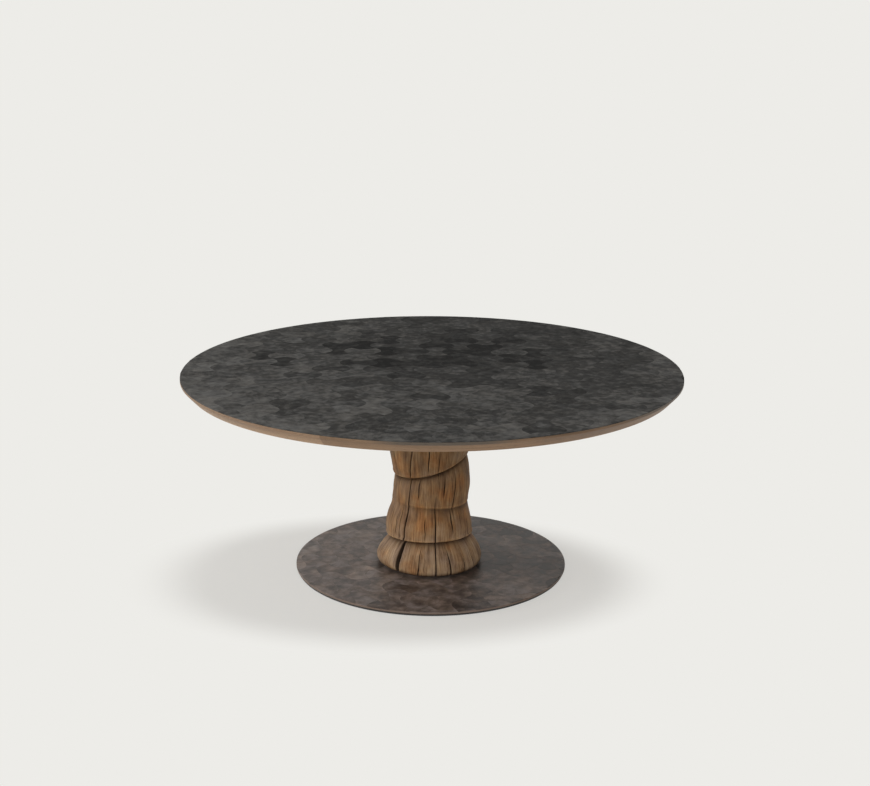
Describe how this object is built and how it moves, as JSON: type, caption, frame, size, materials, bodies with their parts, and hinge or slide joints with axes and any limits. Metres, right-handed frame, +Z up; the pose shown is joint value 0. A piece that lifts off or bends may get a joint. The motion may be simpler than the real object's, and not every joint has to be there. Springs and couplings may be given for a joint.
{
  "type": "round pedestal dining table",
  "caption": "Round pedestal dining table with a dark tiled top, a bevelled wooden edge, a gnarled tree-trunk column and a thin tiled disc foot.",
  "frame": {"origin": "on the floor, on the table's axis under the middle of the top", "axes": "+Z up; -Y is the side seen in the picture; +X is the right of the picture"},
  "size_m": [1.8, 1.8, 0.75],
  "materials": {
    "top_tile": "charcoal tiles, honed to a low sheen",
    "base_tile": "brown-grey tiles, honed to a low sheen",
    "edge_wood": "oiled mid-brown hardwood",
    "trunk_wood": "old weathered trunk, oiled, with dark drying checks",
    "core_board": "raw fibreboard",
    "dark_steel": "matt black powder coat",
    "bright_steel": "zinc plated",
    "felt": "dense dark felt"
  },
  "bodies": {
    "root": {"base_board": "core_board", "base_glides": "felt", "base_lipping_1": "edge_wood", "base_lipping_2": "edge_wood", "base_lipping_3": "edge_wood", "base_lipping_4": "edge_wood", "base_lipping_5": "edge_wood", "base_lipping_6": "edge_wood", "base_mosaic": "base_tile", "base_plate": "dark_steel", "foot_screws": "bright_steel", "head_plate": "dark_steel", "head_screws": "bright_steel", "rod_hub": "dark_steel", "tie_rod": "bright_steel", "tie_rod_nut": "bright_steel", "tie_rod_washer": "bright_steel", "top_backing": "edge_wood", "top_bolts": "bright_steel", "top_core": "core_board", "top_inserts": "bright_steel", "top_lipping_1": "edge_wood", "top_lipping_2": "edge_wood", "top_lipping_3": "edge_wood", "top_lipping_4": "edge_wood", "top_lipping_5": "edge_wood", "top_lipping_6": "edge_wood", "top_lipping_7": "edge_wood", "top_lipping_8": "edge_wood", "top_mosaic": "top_tile", "trunk": "trunk_wood"}
  },
  "joints": []
}
